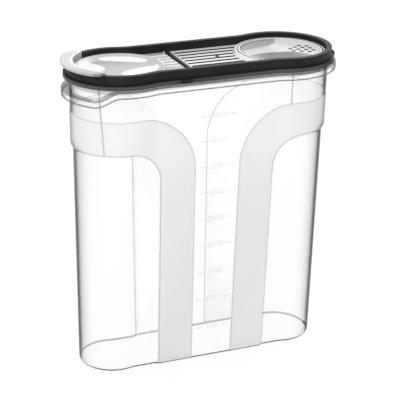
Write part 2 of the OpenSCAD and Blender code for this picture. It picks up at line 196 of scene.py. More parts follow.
def made_piece(name, bm, body):
    """Turns a finished bmesh into an object that rides on a body."""
    bmesh.ops.remove_doubles(bm, verts=bm.verts, dist=1e-6)
    bmesh.ops.recalc_face_normals(bm, faces=bm.faces)
    mesh = bpy.data.meshes.new(name)
    bm.to_mesh(mesh)
    bm.free()
    for face in mesh.polygons:
        face.use_smooth = True
    mesh.set_sharp_from_angle(angle=radians(SMOOTH_ANGLE))
    piece = bpy.data.objects.new(name, mesh)
    scene.collection.objects.link(piece)
    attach(piece, body)
    print(name, len(mesh.polygons), "faces")
    return piece


print("smooth up to", SMOOTH_ANGLE, "degrees")

# %% [markdown]
# ## The relief of the tub's wall
# The wall has three depths. The frosted bands stand a little proud, the clear window lies just
# behind them, and the grip hollows in the ends lie deepest. Seen from the side, the bands and the
# hollows are the space past a leaning line and under a level one, with a round corner between. One
# function that says how far a place lies inside such a space gives both, with soft slopes, and saves
# cutting one shape out of another.

# %% How deep the wall lies at a place
HOLLOW_SLOPE = 1.6      # half the width of the slope into a hollow
HOLLOW_START = 1.0      # the middle of that slope lies this far inside the hollow's edge
BAND_SLOPE = 0.7        # half the width of the slope of a band
REACH_IN = 6.0          # the plan is also worked out this far in, to find which way is in


def soft_step(low, high, v):
    t = min(max((v - low) / (high - low), 0), 1)
    return t * t * (3 - 2 * t)


def inside_end(x, z, edge_x, top_z, corner):
    """How far a place lies inside the region past edge_x and under top_z: negative outside."""
    lean = 2 * LEG_TAPER * (top_z - z) / (top_z + TUB_H)
    u = abs(x - WINDOW_X) - edge_x + lean
    v = top_z - z
    if u < corner and v < corner:
        return corner - hypot(corner - u, corner - v)
    return min(u, v)


def wall_depth(x, z, inner):
    """How deep the outer or the inner skin lies behind the front of the bands."""
    grown = WALL if inner else 0
    past_edge = inside_end(x, z, GRIP_X - grown, GRIP_TOP + grown, GRIP_CORNER + grown)
    hollow = soft_step(-HOLLOW_SLOPE, HOLLOW_SLOPE, past_edge - HOLLOW_START)
    if inner:
        return WALL + GRIP_DEPTH * hollow
    in_band = inside_end(x, z, GRIP_X - LEG_W, GRIP_TOP + BAND_W, WINDOW_CORNER)
    band = soft_step(-BAND_SLOPE, BAND_SLOPE, in_band)
    return BAND_RELIEF * (1 - band) + GRIP_DEPTH * hollow


def pressed_in(z, inset, depth_at):
    """A ring at height z: the plan drawn in by inset, then pressed in at each point by its depth."""
    ring = []
    for (x0, y0), (x1, y1) in zip(tub_plan(z, inset), tub_plan(z, inset + REACH_IN)):
        share = depth_at(x0) / REACH_IN
        ring.append((x0 + (x1 - x0) * share, y0 + (y1 - y0) * share, z))
    return ring


def wall_ring(z, inner=False):
    return pressed_in(z, 0, lambda x: wall_depth(x, z, inner))


print("depth of the middle of a hollow:", wall_depth(100, 120, False))

# %% [markdown]
# ## The tub
# The tub is one moulding, so its whole skin is one closed surface here. It starts at the outer
# floor and climbs the wall. Then it turns out and down round the rim's flange, goes over the rim and
# comes down inside. At the spout end the flange drops, to leave room for a finger.

# %% Rings of the foot and the flange
FOOT_STEPS = 6


def foot_ring(floor_z, foot_r, i, inset):
    """Ring i of the rounding between the floor and the wall, of the outer or the inner skin."""
    g = pi / 2 * i / FOOT_STEPS
    z = floor_z + foot_r * (1 - cos(g))
    inner = inset > 0
    skin = WALL if inner else 0
    return pressed_in(z, inset + foot_r * (1 - sin(g)), lambda x: wall_depth(x, z, inner) - skin)


def drop_at(x):
    return FLANGE_DROP * soft_step(0, DROP_RUN, -x - END_X - DROP_START)


def flange_ring(out, z):
    return [(x, y, z - drop_at(x)) for x, y in lid_plan(out)]


def meet_wall(z):
    """A ring on the tub's wall at a level that drops with the flange."""
    return [(x, y, z - drop_at(x)) for x, y, _ in wall_ring(z)]


def even_levels(start, end, count):
    """Levels from just past start up or down to end."""
    return [start + (end - start) * i / count for i in range(1, count + 1)]


print("drop at the spout end:", drop_at(-LID_L / 2))

# %% Grow the outer wall
CORNERS_LOW = 196.0     # the round corners of the bands lie over this height
PLAIN_TOP = 276.0       # over this height the wall climbs to the flange
LOW_RINGS, CORNER_RINGS = 34, 50

bm = bmesh.new()
ring = start_ring(bm, foot_ring(0, FOOT_R, 0, 0))
bm.faces.new(ring)
for i in range(1, FOOT_STEPS + 1):
    ring = grow_ring(bm, ring, foot_ring(0, FOOT_R, i, 0))
climb = even_levels(FOOT_R, CORNERS_LOW, LOW_RINGS) + even_levels(CORNERS_LOW, PLAIN_TOP, CORNER_RINGS)
for z in climb:
    ring = grow_ring(bm, ring, wall_ring(z))
print("faces of the outer wall:", len(bm.faces))

# %% Grow the flange and the rim
RIM_STEP = 0.5                      # the inner edge of the rim stands this far over the flange
HIGH = TUB_H - RIM_STEP             # top of the flange
UNDER = HIGH - FLANGE_T             # its underside, where it meets the wall
LOW = TUB_H - FLANGE_H              # its lower edge
FLANGE_IN = FLANGE_OUT - FLANGE_T
FILLET, SMALL_ROUND, RIM_ROUND = 0.6, 0.4, 1.0

lower, upper = wall_ring(PLAIN_TOP), meet_wall(UNDER)
for share in (0.35, 0.7, 1):
    ring = grow_ring(bm, ring, [
        tuple(p + (q - p) * share for p, q in zip(a, b)) for a, b in zip(lower, upper)])
wall_faces = set(bm.faces)
for out, z in [
        (FLANGE_IN - FILLET, UNDER), (FLANGE_IN, UNDER - FILLET),
        (FLANGE_IN, LOW + SMALL_ROUND), (FLANGE_IN + SMALL_ROUND, LOW),
        (FLANGE_OUT - SMALL_ROUND, LOW), (FLANGE_OUT, LOW + SMALL_ROUND),
        (FLANGE_OUT, HIGH - RIM_ROUND), (FLANGE_OUT - 0.3 * RIM_ROUND, HIGH - 0.3 * RIM_ROUND),
        (FLANGE_OUT - RIM_ROUND, HIGH)]:
    ring = grow_ring(bm, ring, flange_ring(out, z))
ring = grow_ring(bm, ring, meet_wall(HIGH))
flange_faces = set(bm.faces) - wall_faces
ring = grow_ring(bm, ring, wall_ring(TUB_H))
print("faces of the flange:", len(flange_faces))

# %% Grow the inner wall and close the floor
INNER_TOP_RINGS, INNER_CORNER_RINGS, INNER_LOW_RINGS = 4, 26, 20

ring = grow_ring(bm, ring, wall_ring(TUB_H, inner=True))
outer_faces = set(bm.faces)
descent = even_levels(TUB_H, PLAIN_TOP, INNER_TOP_RINGS)
descent += even_levels(PLAIN_TOP, CORNERS_LOW, INNER_CORNER_RINGS)
descent += even_levels(CORNERS_LOW, FLOOR + FOOT_R - WALL, INNER_LOW_RINGS)
for z in descent:
    ring = grow_ring(bm, ring, wall_ring(z, inner=True))
for i in range(FOOT_STEPS - 1, -1, -1):
    ring = grow_ring(bm, ring, foot_ring(FLOOR, FOOT_R - WALL, i, WALL))
bm.faces.new(ring)
print("faces of the inner wall:", len(bm.faces) - len(outer_faces))

# %% Mark the skins and make the piece
INNER_SKIN, FLANGE_SKIN = 1, 2      # the outer skin keeps material 0
for face in bm.faces:
    if face in flange_faces:
        face.material_index = FLANGE_SKIN
    elif face not in outer_faces:
        face.material_index = INNER_SKIN
tub = made_piece("clear_tub", bm, "tub")
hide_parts("tub")

# %% [markdown]
# ## Building materials from nodes
# Every finish here is a Principled shader whose inputs are fed by small sums on Object coordinates.
# Written node by node, such sums are hard to read. So a number that nodes work out gets its own small
# class, whose plus, minus and times each add one Math node, and a finish then reads like arithmetic.

# %% A number worked out by nodes
def feed(socket, value):
    """Links a worked out value to a socket, or sets a plain one on it."""
    if isinstance(value, NodeValue):
        value.tree.links.new(value.socket, socket)
    else:
        socket.default_value = value


def math_node(tree, operation, *values):
    """Adds one Math node, feeds its inputs and gives back what it works out."""
    node = tree.nodes.new("ShaderNodeMath")
    node.operation = operation
    for socket, value in zip(node.inputs, values):
        feed(socket, value)
    return NodeValue(tree, node.outputs[0])


class NodeValue:
    """A number, or a colour, that nodes work out at each point of a piece."""

    def __init__(self, tree, socket):
        self.tree = tree
        self.socket = socket

    def __add__(self, other):
        return math_node(self.tree, "ADD", self, other)

    def __sub__(self, other):
        return math_node(self.tree, "SUBTRACT", self, other)

    def __rsub__(self, other):
        return math_node(self.tree, "SUBTRACT", other, self)

    def __mul__(self, other):
        return math_node(self.tree, "MULTIPLY", self, other)

    def __truediv__(self, other):
        return math_node(self.tree, "DIVIDE", self, other)

    def __pow__(self, power):
        return math_node(self.tree, "POWER", self, power)

    def __abs__(self):
        return math_node(self.tree, "ABSOLUTE", self)


def largest(value, other):
    return math_node(value.tree, "MAXIMUM", value, other)


def smallest(value, other):
    return math_node(value.tree, "MINIMUM", value, other)


def distance(across, along):
    return math_node(across.tree, "SQRT", across * across + along * along)


print("sums that add nodes:", largest.__name__, smallest.__name__, distance.__name__)

# %% Slopes, lines and colours
def ease(value, low, high):
    """0 under low, 1 over high and a smooth slope between."""
    node = value.tree.nodes.new("ShaderNodeMapRange")
    node.interpolation_type = "SMOOTHSTEP"
    for socket, number in zip(node.inputs, (value, low, high, 0.0, 1.0)):
        feed(socket, number)
    return NodeValue(value.tree, node.outputs[0])


def fade(value, low, high):
    """1 under low, 0 over high and a smooth slope between."""
    return 1.0 - ease(value, low, high)


def line_at(offset, half):
    """1 on a thin line where offset is 0, and 0 away from it."""
    return fade(abs(offset), half * 0.4, half * 1.6)


def tint(grey, blue):
    """A grey with its own share of blue, as a colour."""
    return (grey, grey, blue, 1)


def mix(share, low, high):
    """The colour low where share is 0 and high where it is 1."""
    node = share.tree.nodes.new("ShaderNodeMix")
    node.data_type = "RGBA"
    # input 0 is the share, inputs 6 and 7 are the two colours and output 2 is their mix
    for socket, value in zip((node.inputs[0], node.inputs[6], node.inputs[7]), (share, low, high)):
        feed(socket, value)
    return NodeValue(share.tree, node.outputs[2])


def curve(value, stops):
    """A line of straight runs through (place, height) stops."""
    node = value.tree.nodes.new("ShaderNodeValToRGB")
    ramp = node.color_ramp
    ramp.interpolation = "LINEAR"
    while len(ramp.elements) < len(stops):
        ramp.elements.new(0.5)
    for element, (place, height) in zip(ramp.elements, stops):
        element.position = place
        element.color = (height, height, height, 1)
    feed(node.inputs[0], value)
    return NodeValue(value.tree, node.outputs[0])


print("a pale grey:", tint(0.64, 0.655))

# %% What a material can read at a point
def start_finish(name):
    """A new material with a plain Principled shader."""
    material = bpy.data.materials.new(name)
    material.use_nodes = True
    tree = material.node_tree
    tree.nodes.clear()
    out = tree.nodes.new("ShaderNodeOutputMaterial")
    shader = tree.nodes.new("ShaderNodeBsdfPrincipled")
    tree.links.new(shader.outputs[0], out.inputs[0])
    return material, tree, shader


def coordinates(tree, kind):
    """Three numbers: the place or the direction of the surface at a point."""
    source = tree.nodes.new("ShaderNodeTexCoord")
    split = tree.nodes.new("ShaderNodeSeparateXYZ")
    tree.links.new(source.outputs[kind], split.inputs[0])
    return [NodeValue(tree, axis) for axis in split.outputs]


def place_mm(tree):
    """The x, y and z of a point on the piece, in millimetres."""
    return [axis * (1 / MM) for axis in coordinates(tree, "Object")]


def upright_share(tree):
    """1 on a standing wall and 0 on a floor or a ledge."""
    return fade(abs(coordinates(tree, "Normal")[2]), 0.45, 0.85)


def facing(tree):
    """0 where the surface faces the eye and 1 at its outline."""
    node = tree.nodes.new("ShaderNodeLayerWeight")
    node.inputs["Blend"].default_value = 0.5
    return NodeValue(tree, node.outputs["Facing"])


def grain(tree, scale):
    """Soft noise over the piece, about 0.5 on average."""
    source = tree.nodes.new("ShaderNodeTexCoord")
    noise = tree.nodes.new("ShaderNodeTexNoise")
    noise.inputs["Scale"].default_value = scale
    noise.inputs["Detail"].default_value = 2.0
    tree.links.new(source.outputs["Object"], noise.inputs["Vector"])
    return NodeValue(tree, noise.outputs[0])


def clouds(tree, scale):
    """The same noise with more contrast, from 0 to 1."""
    return ease(grain(tree, scale), 0.3, 0.7)


print("a material can read:", place_mm.__name__, upright_share.__name__, facing.__name__, grain.__name__)

# %% [markdown]
# ## Clear moulded plastic
# Clear plastic is nearly invisible where it is seen square on, and dark at its outlines, where the eye
# looks along the wall. An Alpha that rises with the Layer Weight node gives just that, and it stays
# free of the noise that real refraction brings. The bands are frosted: they get a steady milky share
# with a fine grain. The same sums as in the relief say where they are.

# %% Where the bands and the hollows lie
def end_share(x, z, edge_x, top_z, corner):
    """The node form of inside_end: how far a place lies inside an end region, in millimetres."""
    v = top_z - z
    lean = v * (2 * LEG_TAPER / (top_z + TUB_H))
    u = abs(x - WINDOW_X) - edge_x + lean
    p, q = corner - u, corner - v
    past_corner = distance(largest(p, 0.0), largest(q, 0.0))
    return corner - (past_corner + smallest(largest(p, q), 0.0))


def frosted(tree, x, z):
    """The frosted share, and how far a place lies inside the bands and inside the grip hollows."""
    band = end_share(x, z, GRIP_X - LEG_W, GRIP_TOP + BAND_W, WINDOW_CORNER)
    hollow = end_share(x, z, GRIP_X, GRIP_TOP, GRIP_CORNER)
    frost = ease(band, -0.3, 0.3) * fade(hollow, -0.5, 0.5)
    return frost * upright_share(tree), band, hollow


print("the frost ends at the hollow, in mm:", GRIP_X)

# %% How much of the light a thin skin stops
CLEAR_IOR = 1.5
LEAST_COVER = 0.002     # a skin is never quite invisible
LEAST_SUM = 0.001       # keeps the share of the dark layers from dividing by nothing
SKIN_STOPS = [(0.0, 0.0), (0.28, 0.01), (0.4, 0.05), (0.5, 0.11),
              (0.62, 0.2), (0.68, 0.5), (0.74, 0.95), (1.0, 0.99)]


def outline(tree):
    """The cover of one clear skin, from square on to edge on."""
    return curve(facing(tree), SKIN_STOPS)


def layers(*covers):
    """The cover of several thin layers laid over each other."""
    through = 1.0 - covers[0]
    for cover in covers[1:]:
        through = through * (1.0 - cover)
    return 1.0 - through


def start_clear(name, gloss):
    """A new finish of clear plastic."""
    material, tree, shader = start_finish(name)
    shader.inputs["IOR"].default_value = CLEAR_IOR
    shader.inputs["Specular IOR Level"].default_value = gloss
    return material, tree, shader


def cover_skin(shader, dark, milky, milk, dark_tone):
    """Feeds the cover of a skin, and its colour between milk and the dark of its outlines."""
    feed(shader.inputs["Alpha"], largest(layers(dark, milky), LEAST_COVER))
    share = dark / largest(dark + milky, LEAST_SUM)
    feed(shader.inputs["Base Color"], mix(share, milk, dark_tone))


print("places on the curve of a skin:", len(SKIN_STOPS))

# %% [markdown]
# ## The outer skin of the tub
# The outside of the real tub shows a few dark lines: the edges of the bands, the turn into the foot
# and two upright seams of the mould near the rim. The seams are lines of the mould itself. Along the
# band edges and round the foot, the dark comes from light bent in the thicker plastic, so those lines
# are painted shade. They could be cut into the wall, but they are only a hair wide, so here they are
# thin lines in the cover of the skin.

# %% Lines on the outer skin
SEAM_HALF = 0.55                                    # half the width of a seam line
LEFT_SEAM_X, LEFT_SEAM_Z, LEFT_SEAM_LEAN = -115.3, 291.0, 0.066
LEFT_SEAM_FROM, RIGHT_SEAM_FROM = 232.0, 265.0      # the lower ends of the seams
RIGHT_SEAM_X = 76.0
# painted shade: a dark line painted round the foot, for the dark that light bent in the thick corner gives
FOOT_SHADE_LOW, FOOT_SHADE_HIGH = 0.8, 2.2            # the dark line round the foot
FOOT_SHADE_RISE = 0.9                                # it stands this much higher at the front


def mould_seams(x, z, front):
    """1 on the two upright seams at the front."""
    slant = (z - LEFT_SEAM_Z) * LEFT_SEAM_LEAN
    left = line_at(x - LEFT_SEAM_X + slant, SEAM_HALF) * ease(z, LEFT_SEAM_FROM, LEFT_SEAM_FROM + 2)
    right = line_at(x - RIGHT_SEAM_X, SEAM_HALF) * ease(z, RIGHT_SEAM_FROM, RIGHT_SEAM_FROM + 2)
    return largest(left * front, right * front)


def outer_lines(x, z, front, upright, band, hollow):
    """The cover of all the dark lines: the painted shade along the band edges and round the foot, and the
    mould seams.
    """
    # painted shade along the band edges and round the foot, darker on the front; the two seams are lines of
    # the mould
    edge = largest(line_at(band, 0.5), line_at(hollow, 0.6)) * upright
    high_back = (1.0 - front) * ease(z, 185.0, 230.0)
    edge_shade_cover = front * 0.22 + 0.2 - high_back * 0.12
    raised = z - front * FOOT_SHADE_RISE
    foot = fade(raised, FOOT_SHADE_HIGH, FOOT_SHADE_HIGH + 0.8) * ease(z, FOOT_SHADE_LOW, FOOT_SHADE_LOW + 0.5)
    foot_shade_cover = front * 0.42 + 0.5
    return layers(edge * edge_shade_cover, foot * foot_shade_cover, mould_seams(x, z, front) * 0.5)


print("seams at x:", LEFT_SEAM_X, RIGHT_SEAM_X)

# %% The finish of the outer skin
FROST_COVER = 0.6
OUTER_MILK = (tint(0.64, 0.655), tint(0.67, 0.685))
OUTER_DARK = tint(0.035, 0.038)


def outer_clear():
    material, tree, shader = start_clear("clear_plastic", 0.03)
    x, y, z = place_mm(tree)
    frost, band, hollow = frosted(tree, x, z)
    upright = upright_share(tree)
    front = fade(y, -1.0, 0.0)
    turned = outline(tree) * (upright * 0.94 + 0.06)
    lines = outer_lines(x, z, front, upright, band, hollow)
    dark = layers(turned * (1.0 - frost * 0.5), lines)
    spout_shade = ease(x * -1.0, 114.5, 116.0) * ease(z, 150.0, 260.0)
    milky = layers(frost * FROST_COVER, spout_shade * 0.12)
    cover_skin(shader, dark, milky, mix(clouds(tree, 14.0), *OUTER_MILK), OUTER_DARK)
    frost_rough = grain(tree, 2600.0) * 0.2 + 0.35
    feed(shader.inputs["Roughness"], frost * frost_rough + 0.06)
    return material


tub.data.materials.append(outer_clear())
print("outer skin:", tub.data.materials[0].name)

# %% [markdown]
# ## The inner skin of the tub
# The real frost scatters light, so that the bands look lit from within. Thin layers made with Alpha
# don't scatter any, so the inner skin of the bands has a small glow of its own, stronger near the
# top, where more light comes in.

# %% The finish of the inner skin
INNER_COVER = 0.82
INNER_MILK = (tint(0.86, 0.865), tint(0.9, 0.9))
INNER_DARK = tint(0.2, 0.21)


def inner_clear():
    material, tree, shader = start_clear("clear_plastic_inside", 0.03)
    x, _, z = place_mm(tree)
    frost = frosted(tree, x, z)[0]
    turned = outline(tree) * (upright_share(tree) * 0.3)
    cover_skin(shader, turned, frost * INNER_COVER, mix(clouds(tree, 11.0), *INNER_MILK), INNER_DARK)
    shader.inputs["Emission Color"].default_value = (1, 1, 1, 1)
    glow = ease(z, 150.0, 270.0) * 0.17 + 0.16
    feed(shader.inputs["Emission Strength"], frost * glow)
    feed(shader.inputs["Roughness"], frost * 0.4 + 0.08)
    return material


tub.data.materials.append(inner_clear())
print("inner skin:", tub.data.materials[1].name)

# %% [markdown]
# ## The flange of the tub
# The flange hangs round the rim like a thin clear curtain. On the real one, its two ledges catch the
# dark of the lid and show as lines, so here they are painted reflections of the lid. The sum that drops
# the flange at the spout end drops the lines too.

# %% The finish of the flange
FLANGE_MILK = (tint(0.6, 0.61), tint(0.75, 0.76))
FLANGE_DARK = tint(0.05, 0.052)
LOW_LEDGE, HIGH_LEDGE = LOW + 0.3, HIGH - 0.4


def flange_clear():
    material, tree, shader = start_clear("clear_plastic_flange", 0.1)
    x, _, z = place_mm(tree)
    past_start = x * -1.0 - (END_X + DROP_START)
    level = z + ease(past_start, 0.0, DROP_RUN) * FLANGE_DROP
    # painted reflection: the two ledges are painted as dark lines, for the dark lid that they reflect
    ledges = largest(line_at(level - LOW_LEDGE, 0.55), line_at(level - HIGH_LEDGE, 0.5))
    dark = layers(outline(tree) * 0.45, ledges * 0.6)
    milk = mix(clouds(tree, 30.0), *FLANGE_MILK)
    feed(shader.inputs["Alpha"], layers(dark, 0.05))
    feed(shader.inputs["Base Color"], mix(ease(dark, 0.02, 0.3), milk, FLANGE_DARK))
    feed(shader.inputs["Roughness"], grain(tree, 800.0) * 0.08 + 0.05)
    return material


tub.data.materials.append(flange_clear())
print("clear plastic on", tub.name, [m.name for m in tub.data.materials])

# %% [markdown]
# ## The scale
# A scale is moulded on the front of the clear window, a pair of short raised marks and a plain number
# for every half litre. It could be a picture on the wall, but the real one is raised, and its levels
# follow from the room inside the tub.

# %% Levels of the scale
MARK_ML, FULL_ML = 500, 5000        # step between two marks, and what the tub holds
lean_y = (WAIST_Y - RIM_INSET - BASE_WAIST_Y) / TUB_H
low_area = (4 * (BASE_L / 2 - BASE_END_R) * (BASE_WAIST_Y - WALL) + pi * (BASE_END_R - WALL) ** 2
            - 2 * GRIP_DEPTH * (END_X + BASE_END_R))
high_area = 4 * END_X * (WAIST_Y - RIM_INSET - WALL) + pi * (END_R - RIM_INSET - WALL) ** 2
growth = (high_area - low_area) / (2 * TUB_H)
MM3_PER_ML = 1000


def fill_level(ml):
    """The height of the filling, from an area that grows evenly from the floor to the rim."""
    return FLOOR + (sqrt(low_area ** 2 + 4 * growth * ml * MM3_PER_ML) - low_area) / (2 * growth)


levels = {ml: fill_level(ml) for ml in range(MARK_ML, FULL_ML + 1, MARK_ML) if fill_level(ml) < PLAIN_TOP}
print("levels in mm:", {ml: round(z, 1) for ml, z in levels.items()})

# %% [markdown]
# ## Marks and numbers
# Each mark starts as one flat face that is extruded. The numbers start as text, which is turned into
# a mesh and merged into the same piece. Both are drawn flat, then laid on the leaning wall by one
# matrix, so they always sit on it at the same depth.

# %% Marks
MARK_L, MARK_RELIEF, MARK_R = 7.0, 0.35, 0.6        # length, relief and end radius of a mark
MARK_SINK = 0.3                                     # how deep it is rooted in the wall
MARK_STEPS = 6                                      # steps round each of its ends
NUMBER_W = 21.0                                     # room for the number between two marks


def on_front(x, z):
    """The place of a flat outline on the front wall: its face looks out and its top leans with the wall."""
    y = -(BASE_WAIST_Y + lean_y * z - BAND_RELIEF)
    return Matrix.Translation(Vector((x, y, z)) * MM) @ Matrix.Rotation(pi / 2 + atan2(lean_y, 1), 4, "X")


def add_mark(bm, x, z):
    half = MARK_L / 2
    corners = []
    for side in (1, -1):
        for i in range(MARK_STEPS + 1):
            g = pi * i / MARK_STEPS
            corners.append((side * (half + MARK_R * sin(g)), side * MARK_R * cos(g), -MARK_SINK))
    face = bm.faces.new([bm.verts.new(Vector(corner) * MM) for corner in corners])
    made = bmesh.ops.extrude_face_region(bm, geom=[face])["geom"]
    top = [v for v in made if isinstance(v, bmesh.types.BMVert)]
    bmesh.ops.translate(bm, verts=top, vec=(0, 0, (MARK_SINK + MARK_RELIEF) * MM))
    bmesh.ops.transform(bm, matrix=on_front(x, z), verts=list(face.verts) + top)


print("length of a mark over its round ends:", MARK_L + 2 * MARK_R)

# %% Numbers
NUMBER_SIZE, NUMBER_RELIEF = 8.2, 0.3


def add_number(bm, text, x, z):
    letters = bpy.data.curves.new("number", "FONT")
    letters.body = text
    letters.size = NUMBER_SIZE * MM
    letters.extrude = NUMBER_RELIEF * MM
    letters.align_x = "CENTER"
    letters.align_y = "CENTER"
    letters.resolution_u = 3
    flat = bpy.data.objects.new("number", letters)
    scene.collection.objects.link(flat)
    bpy.context.view_layer.update()
    shape = bpy.data.meshes.new_from_object(flat.evaluated_get(bpy.context.evaluated_depsgraph_get()))
    shape.transform(on_front(x, z))
    bm.from_mesh(shape)
    bpy.data.objects.remove(flat)


bm = bmesh.new()
for ml, z in levels.items():
    for side in (-1, 1):
        add_mark(bm, WINDOW_X + side * (NUMBER_W + MARK_L) / 2, z)
    add_number(bm, str(ml), WINDOW_X, z)
marks = made_piece("scale_marks", bm, "tub")

# %% The finish of the scale
def relief_plastic():
    """Clear plastic a little greyer than the wall, so that the raised numbers read."""
    material, tree, shader = start_finish("relief_plastic")
    cloud = clouds(tree, 120.0)
    feed(shader.inputs["Base Color"], mix(cloud, tint(0.38, 0.39), tint(0.5, 0.51)))
    feed(shader.inputs["Alpha"], facing(tree) * 0.22 + 0.06)
    feed(shader.inputs["Roughness"], cloud * 0.1 + 0.15)
    return material


marks.data.materials.append(relief_plastic())
print("relief plastic on", marks.name)

# %% [markdown]
# ## Black plastic
# The lid frame is satin black, with a very fine moulded grain that only shows in its highlights. Its
# skirt carries fine level lines round the long sides, apart from the catch. These lines are painted
# lighter than the black, a painted sheen for the light that the skirt catches from below. The plug wall
# inside the tub looks pale through the frost, so it is painted pale, a painted stand-in for the light
# that the frost scatters over it. A sine along the height draws the lines with one node.

# %% The finish of the lid frame
# painted sheen: the lighter skirt lines fade out toward the +x end between these places
SKIRT_FADE_X = (96.0, 122.0)        # the lines fade out between these places
CATCH_X, CATCH_HALF = -34.5, 5.6
LINE_TURN = 2.4                     # how far the sine turns for each mm up, in radians
PLUG_TOP = 298.9
DEEP_BLACK, SOFT_BLACK = tint(0.009, 0.0092), tint(0.013, 0.0132)
SHEEN_LINE_DARK, SHEEN_LINE_PALE = tint(0.022, 0.023), tint(0.085, 0.088)


def skirt_strip(tree, x, z):
    """1 on the part of the skirt that carries the fine lines and their painted sheen."""
    strip = ease(z, SKIRT_LOW - 0.3, SKIRT_LOW + 0.2) * fade(z, SKIRT_Z - 0.6, SKIRT_Z)
    past_catch = ease(abs(x - CATCH_X), CATCH_HALF, CATCH_HALF + 0.6)
    return strip * upright_share(tree) * past_catch * fade(x, *SKIRT_FADE_X)


def black_plastic():
    material, tree, shader = start_finish("black_plastic")
    x, _, z = place_mm(tree)
    black = mix(ease(grain(tree, 60.0), 0.35, 0.7), DEEP_BLACK, SOFT_BLACK)
    comb = ease(abs(math_node(tree, "SINE", z * LINE_TURN)), 0.2, 0.9)
    # painted sheen: the skirt's fine lines are painted lighter than the black, for the light the skirt
    # catches
    tone = mix(skirt_strip(tree, x, z), black, mix(comb, SHEEN_LINE_DARK, SHEEN_LINE_PALE))
    # painted light: the black plug wall is painted near white, for the light that the frost in front of it
    # scatters
    plug_painted_pale = fade(z, PLUG_TOP, PLUG_TOP + 0.3)
    feed(shader.inputs["Base Color"], mix(plug_painted_pale, tone, tint(0.9, 0.9)))
    speck = grain(tree, 1800.0)
    feed(shader.inputs["Roughness"], speck * 0.2 + 0.42)
    bump = tree.nodes.new("ShaderNodeBump")
    bump.inputs["Strength"].default_value = 0.5
    bump.inputs["Distance"].default_value = 0.04 * MM
    feed(bump.inputs["Height"], speck)
    tree.links.new(bump.outputs[0], shader.inputs["Normal"])
    shader.inputs["Specular IOR Level"].default_value = 0.16
    return material


black_finish = black_plastic()
print("made", black_finish.name)

# %% [markdown]
# ## Cloudy plastic
# The flap, the deck and the dial are moulded from the same cloudy clear plastic, thick enough to look
# pale grey. So one function makes it in a given tone, and each piece then adds the shades of its own
# hollows on top.

# %% Cloudy plastic in a given tone
EDGE_TONE = tint(0.25, 0.25)        # the tone at its outlines
DARK_SHARE = 0.93                   # its darker clouds


def pale_plastic(name, grey, blue, cover):
    """Cloudy plastic of a given tone and cover; its outlines are a little darker."""
    material, tree, shader = start_finish(name)
    turned = facing(tree)
    base = mix(clouds(tree, 45.0), tint(grey * DARK_SHARE, blue * DARK_SHARE), tint(grey, blue))
    colour = mix(turned ** 5.0, base, EDGE_TONE)
    feed(shader.inputs["Alpha"], smallest(turned * 0.25 + cover, 1.0))
    feed(shader.inputs["Roughness"], grain(tree, 900.0) * 0.12 + 0.16)
    shader.inputs["IOR"].default_value = CLEAR_IOR
    return material, tree, shader, colour


print("tone at the outlines:", EDGE_TONE)

# %% [markdown]
# ## The deck
# The top of the slotted deck is pale. The black lid frame shows through its slots, in the collar's
# bore and along the hinge, and these narrow gaps lie in shade, so those walls are painted nearly
# black here, a painted shade.

# %% The finish of the deck
COLLAR_R = 42.3                     # bore of the collar
HINGE_X = -16.6                     # edge of the deck's hinge side
SHADE_BLACK = tint(0.012, 0.012)


def deck_plastic():
    material, tree, shader, colour = pale_plastic("deck_plastic", 0.82, 0.825, 0.95)
    x, y, z = place_mm(tree)
    bore = fade(distance(x - END_X, y), COLLAR_R, COLLAR_R + 0.2)
    shaded_slot_walls = upright_share(tree) * fade(z, DECK_Z - 0.05, DECK_Z + 0.05)
    shaded_hinge_side = fade(x, HINGE_X, HINGE_X + 0.4)
    # painted shade: the walls of the slots, the collar's bore and the hinge side are painted nearly black
    dark = largest(largest(shaded_slot_walls, bore), shaded_hinge_side * 0.85)
    feed(shader.inputs["Base Color"], mix(dark, colour, SHADE_BLACK))
    return material


deck_finish = deck_plastic()
print("made", deck_finish.name)

# %% [markdown]
# ## The dial
# The thumb bowl of the real dial looks dark on its near side and a softer grey on its far wall. Even
# light doesn't give that, so these are painted shades in the colour: a dark painted shade on the near
# side and a lighter one on the far wall. The walls of the sieve holes get a painted shade too, the top
# of the rim a painted highlight and the side of the dial past the gap a painted shadow. The shades of
# the bowl each end on a line that belongs to the view from the front left, so the sums first turn x
# and y into across and along that view.

# %% Shades in the bowl of the dial
VIEW_X, VIEW_Y = 0.345, 0.94        # direction of that view in plan
VIEW_COT = 2.44                     # run along it for each step up
BOWL_Z = 302.5                      # level at which the lines were found
NEAR_EDGE = (6.2, 7.8)              # the near shade ends between these
NEAR_BEND = 0.0133                  # how much its end bends
BOWL_RIM = (FACE_Z - 0.9, FACE_Z - 0.4)


def across_and_along(x, y, z):
    """A place as seen from the front left, slid along the view to the level of the bowl."""
    along = x * VIEW_X + y * VIEW_Y + (z - BOWL_Z) * VIEW_COT
    across = x * VIEW_Y - y * VIEW_X
    return across, along


def far_shade(across, along):
    """1 on the far wall of the bowl, past a line with one bend."""
    slope = across * 0.6 + 32.6
    steep = across * 1.02 + 38.9
    return ease(along - largest(slope, steep), -1.0, 1.0) * fade(across, -3.0, 0.0)


print("view turned by", round(atan2(VIEW_X, VIEW_Y), 3), "radians")

# %% The finish of the dial
HOLE_X, HOLE_TOP = 11.0, 305.3      # the sieve holes lie past this x and under this level
# the painted near shade is lighter over this band of the bowl
BOWL_SIDE = (1.7, 8.3)              # paler side of the bowl
# painted shadow: past this radius the side of the dial is painted dark, for the gap round it
DIAL_R = 40.7                       # from here on the side of the dial is dark


